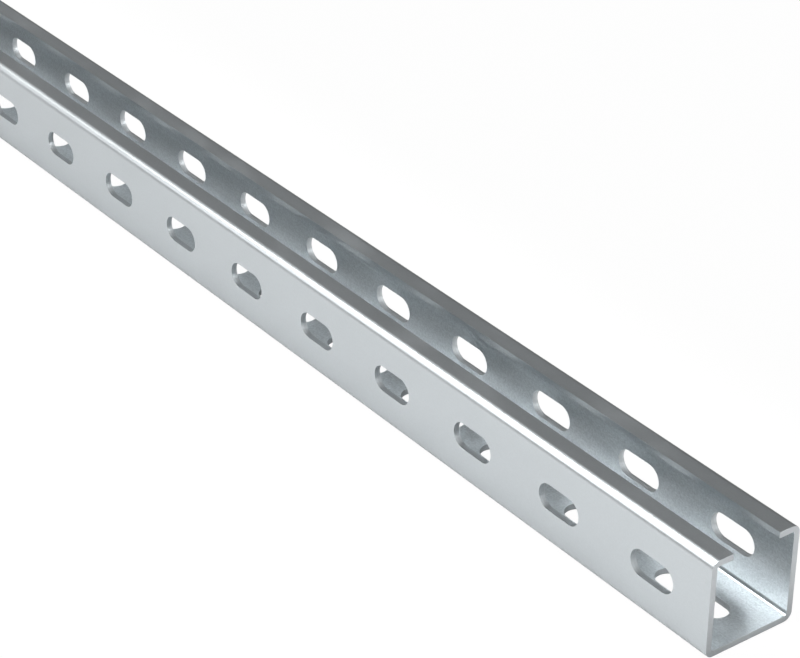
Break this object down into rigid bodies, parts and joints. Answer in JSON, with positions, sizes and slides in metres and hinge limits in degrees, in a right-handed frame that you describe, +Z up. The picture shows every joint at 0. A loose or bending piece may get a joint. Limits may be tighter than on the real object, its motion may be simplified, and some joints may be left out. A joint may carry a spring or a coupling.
{
  "type": "slotted mounting rail",
  "caption": "Cold-formed C-section steel rail with an open mouth between two flat lips and long slots through both side walls and the base.",
  "frame": {"origin": "middle of the underside of the base, halfway along the rail", "axes": "+X along the rail, +Y across it, +Z up out of the mouth"},
  "size_m": [1, 0.04, 0.04],
  "materials": {
    "galvanised_steel": "zinc-coated, dull satin"
  },
  "bodies": {
    "root": {"slotted_rail": "galvanised_steel"}
  },
  "joints": []
}
